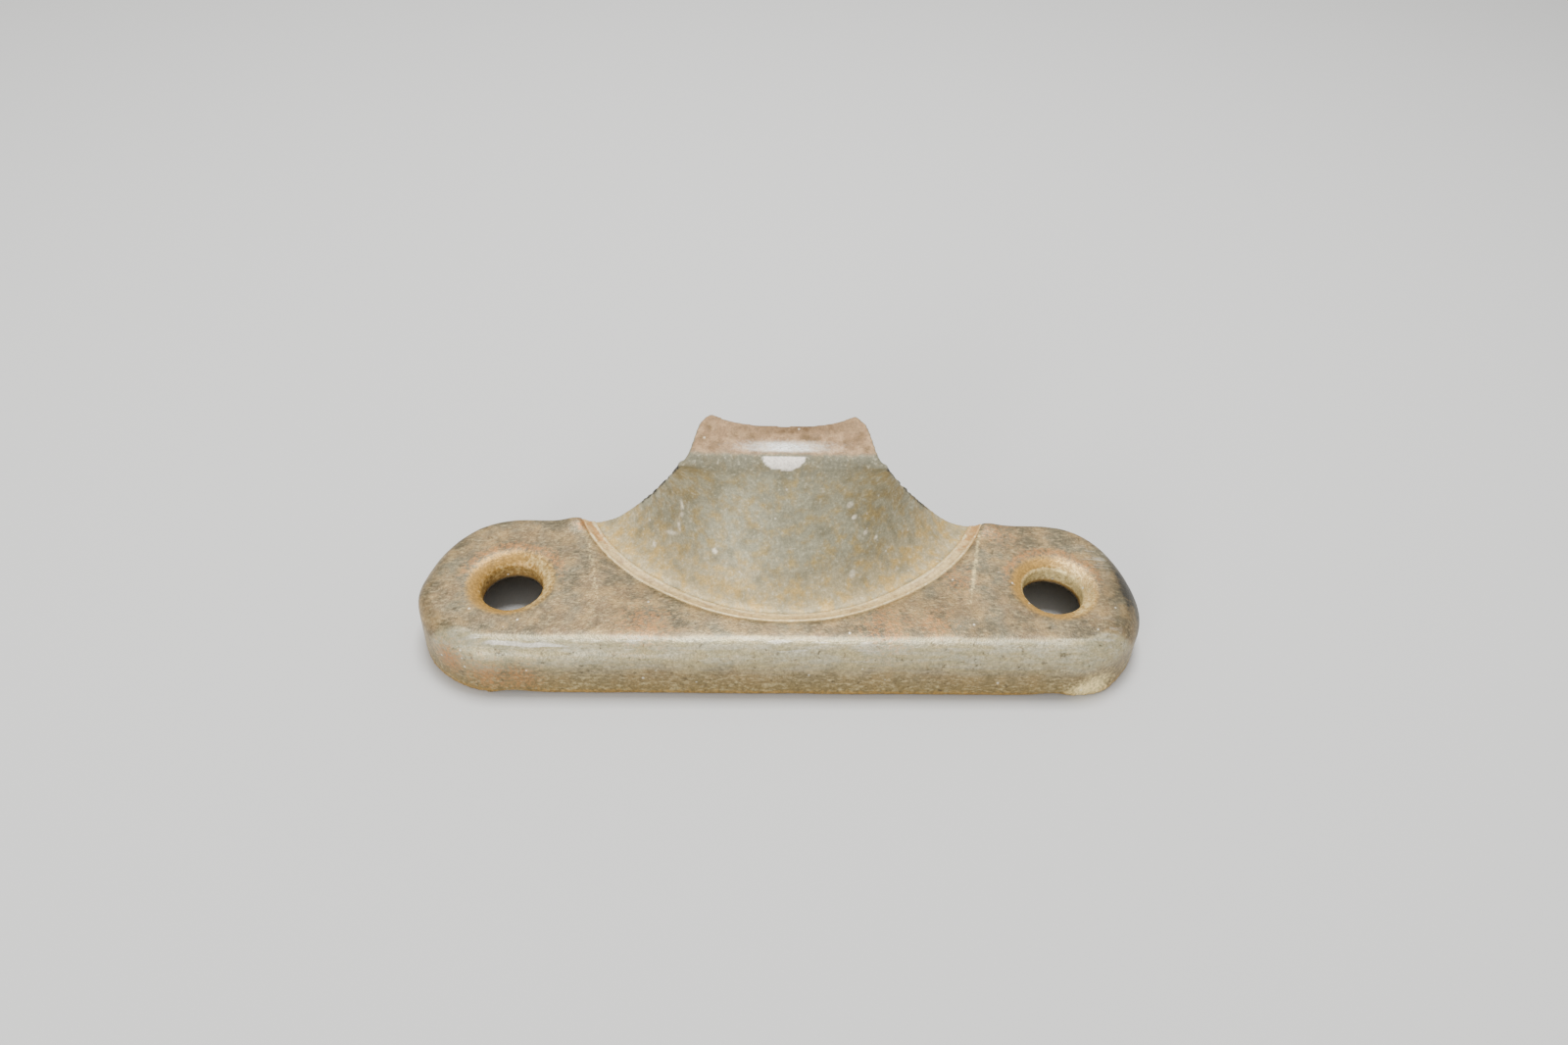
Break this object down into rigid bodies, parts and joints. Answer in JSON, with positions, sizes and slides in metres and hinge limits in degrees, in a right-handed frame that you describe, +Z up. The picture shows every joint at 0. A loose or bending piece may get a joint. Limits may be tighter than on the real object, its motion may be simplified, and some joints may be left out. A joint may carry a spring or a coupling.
{
  "type": "cleat horn",
  "caption": "Stadium-shaped hollow base with a countersunk screw hole at each end and a flared, curved horn with a rounded ridge and flat lip rising from its back edge.",
  "frame": {"origin": "centre of the base's outline, on the plane of the feet that it rests on", "axes": "+X along the base to the right, +Y to the flat back, so the rounded front faces -Y, +Z up along the horn"},
  "size_m": [0.1016, 0.0254, 0.0285],
  "materials": {
    "shoe_bronze": "weathered brown bronze casting, fine grain, bare scuffed front edge",
    "horn_bronze": "grey-green patina with brown mottling, worn ridge",
    "braze_brass": "dull yellow filler metal with two bright edge lines"
  },
  "bodies": {
    "root": {"base_shoe": "shoe_bronze", "horn": "horn_bronze", "braze_fillet": "braze_brass"}
  },
  "joints": []
}
